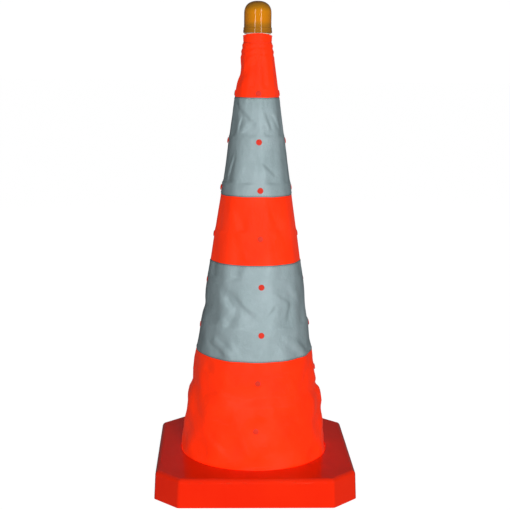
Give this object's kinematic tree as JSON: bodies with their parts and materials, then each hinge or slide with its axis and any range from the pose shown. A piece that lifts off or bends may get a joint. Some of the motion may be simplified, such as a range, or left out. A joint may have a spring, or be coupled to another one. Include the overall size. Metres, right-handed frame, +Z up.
{
  "type": "collapsible traffic cone",
  "caption": "Free-standing collapsible traffic cone: fabric sleeve with reflective bands on telescoping rings, chamfered square base, amber warning lamp on top.",
  "frame": {"origin": "centre of the underside of the rubber feet, on the cone's axis", "axes": "+Z up along the cone's axis, -Y towards the front, +X to the right of someone facing the front"},
  "size_m": [0.309, 0.309, 0.75],
  "materials": {
    "base_plastic": "glossy orange-red moulded plastic",
    "foot_rubber": "matt black rubber",
    "screw_steel": "zinc-plated",
    "ring_plastic": "satin orange plastic",
    "rivet_plastic": "red-orange moulded plastic",
    "fabric_orange": "fluorescent orange coated woven nylon",
    "fabric_silver": "silver-grey retroreflective coated fabric",
    "tie_cord": "braided orange cord",
    "lamp_plastic": "cream moulded plastic",
    "seal_rubber": "translucent cream silicone",
    "lens_amber": "clear amber polycarbonate",
    "reflector_chrome": "vacuum-plated plastic",
    "board": "green circuit board",
    "led_clear": "clear epoxy",
    "contact_brass": "pressed strip",
    "cell_jacket": "plain dark cell jacket",
    "spring_steel": "bright wire"
  },
  "bodies": {
    "root": {"base_shell": "base_plastic", "bottom_plate": "base_plastic", "rubber_feet": "foot_rubber", "base_screws": "screw_steel", "ring_screws": "screw_steel", "hem_hoop": "ring_plastic", "ring_1": "ring_plastic", "rivets_1": "rivet_plastic", "rivet_caps_1": "rivet_plastic", "sleeve_1": "fabric_orange", "sleeve_2": "fabric_orange"},
    "ring_2": {"ring_2": "ring_plastic", "rivets_2": "rivet_plastic", "rivet_caps_2": "rivet_plastic", "sleeve_3": "fabric_orange", "lower_band_3": "fabric_silver"},
    "ring_3": {"ring_3": "ring_plastic", "rivets_3": "rivet_plastic", "rivet_caps_3": "rivet_plastic", "lower_band_4": "fabric_silver"},
    "ring_4": {"ring_4": "ring_plastic", "rivets_4": "rivet_plastic", "rivet_caps_4": "rivet_plastic", "lower_band_5": "fabric_silver", "sleeve_5": "fabric_orange"},
    "ring_5": {"ring_5": "ring_plastic", "rivets_5": "rivet_plastic", "rivet_caps_5": "rivet_plastic", "sleeve_6": "fabric_orange", "upper_band_6": "fabric_silver"},
    "ring_6": {"ring_6": "ring_plastic", "rivets_6": "rivet_plastic", "rivet_caps_6": "rivet_plastic", "upper_band_7": "fabric_silver"},
    "ring_7": {"ring_7": "ring_plastic", "rivets_7": "rivet_plastic", "rivet_caps_7": "rivet_plastic", "upper_band_8": "fabric_silver", "sleeve_8": "fabric_orange"},
    "ring_8": {"ring_8": "ring_plastic", "rivets_8": "rivet_plastic", "rivet_caps_8": "rivet_plastic", "sleeve_9": "fabric_orange"},
    "head": {"head_collar": "lamp_plastic", "neck_tie": "tie_cord", "lamp_housing": "lamp_plastic", "lamp_nut": "lamp_plastic", "lens_seal": "seal_rubber", "reflector": "reflector_chrome", "led_board": "board", "leds": "led_clear", "contact_plates": "contact_brass", "batteries": "cell_jacket", "battery_springs": "spring_steel", "battery_cap": "lamp_plastic"},
    "lens": {"lens": "lens_amber"}
  },
  "joints": [
    {"name": "ring_2_slide", "type": "slide", "parent": "root", "child": "ring_2", "axis": [0, 0, -1], "range_m": [0, 0.0725], "deforming": ["sleeve_2"]},
    {"name": "ring_3_slide", "type": "slide", "parent": "ring_2", "child": "ring_3", "axis": [0, 0, -1], "range_m": [0, 0.0725], "deforming": ["sleeve_3", "lower_band_3"]},
    {"name": "ring_4_slide", "type": "slide", "parent": "ring_3", "child": "ring_4", "axis": [0, 0, -1], "range_m": [0, 0.0725], "deforming": ["lower_band_4"]},
    {"name": "ring_5_slide", "type": "slide", "parent": "ring_4", "child": "ring_5", "axis": [0, 0, -1], "range_m": [0, 0.0725], "deforming": ["lower_band_5", "sleeve_5"]},
    {"name": "ring_6_slide", "type": "slide", "parent": "ring_5", "child": "ring_6", "axis": [0, 0, -1], "range_m": [0, 0.0725], "deforming": ["sleeve_6", "upper_band_6"]},
    {"name": "ring_7_slide", "type": "slide", "parent": "ring_6", "child": "ring_7", "axis": [0, 0, -1], "range_m": [0, 0.0725], "deforming": ["upper_band_7"]},
    {"name": "ring_8_slide", "type": "slide", "parent": "ring_7", "child": "ring_8", "axis": [0, 0, -1], "range_m": [0, 0.0725], "deforming": ["upper_band_8", "sleeve_8"]},
    {"name": "head_slide", "type": "slide", "parent": "ring_8", "child": "head", "axis": [0, 0, -1], "range_m": [0, 0.0725], "deforming": ["sleeve_9"]},
    {"name": "lens_twist", "type": "hinge", "parent": "head", "child": "lens", "pos_m": [0, 0, 0.71], "axis": [0, 0, 1], "range_deg": [0, 40]}
  ],
  "couplings": [
    {"joint": "ring_3_slide", "follows": "ring_2_slide", "ratio": 1},
    {"joint": "ring_4_slide", "follows": "ring_2_slide", "ratio": 1},
    {"joint": "ring_5_slide", "follows": "ring_2_slide", "ratio": 1},
    {"joint": "ring_6_slide", "follows": "ring_2_slide", "ratio": 1},
    {"joint": "ring_7_slide", "follows": "ring_2_slide", "ratio": 1},
    {"joint": "ring_8_slide", "follows": "ring_2_slide", "ratio": 1},
    {"joint": "head_slide", "follows": "ring_2_slide", "ratio": 1}
  ]
}
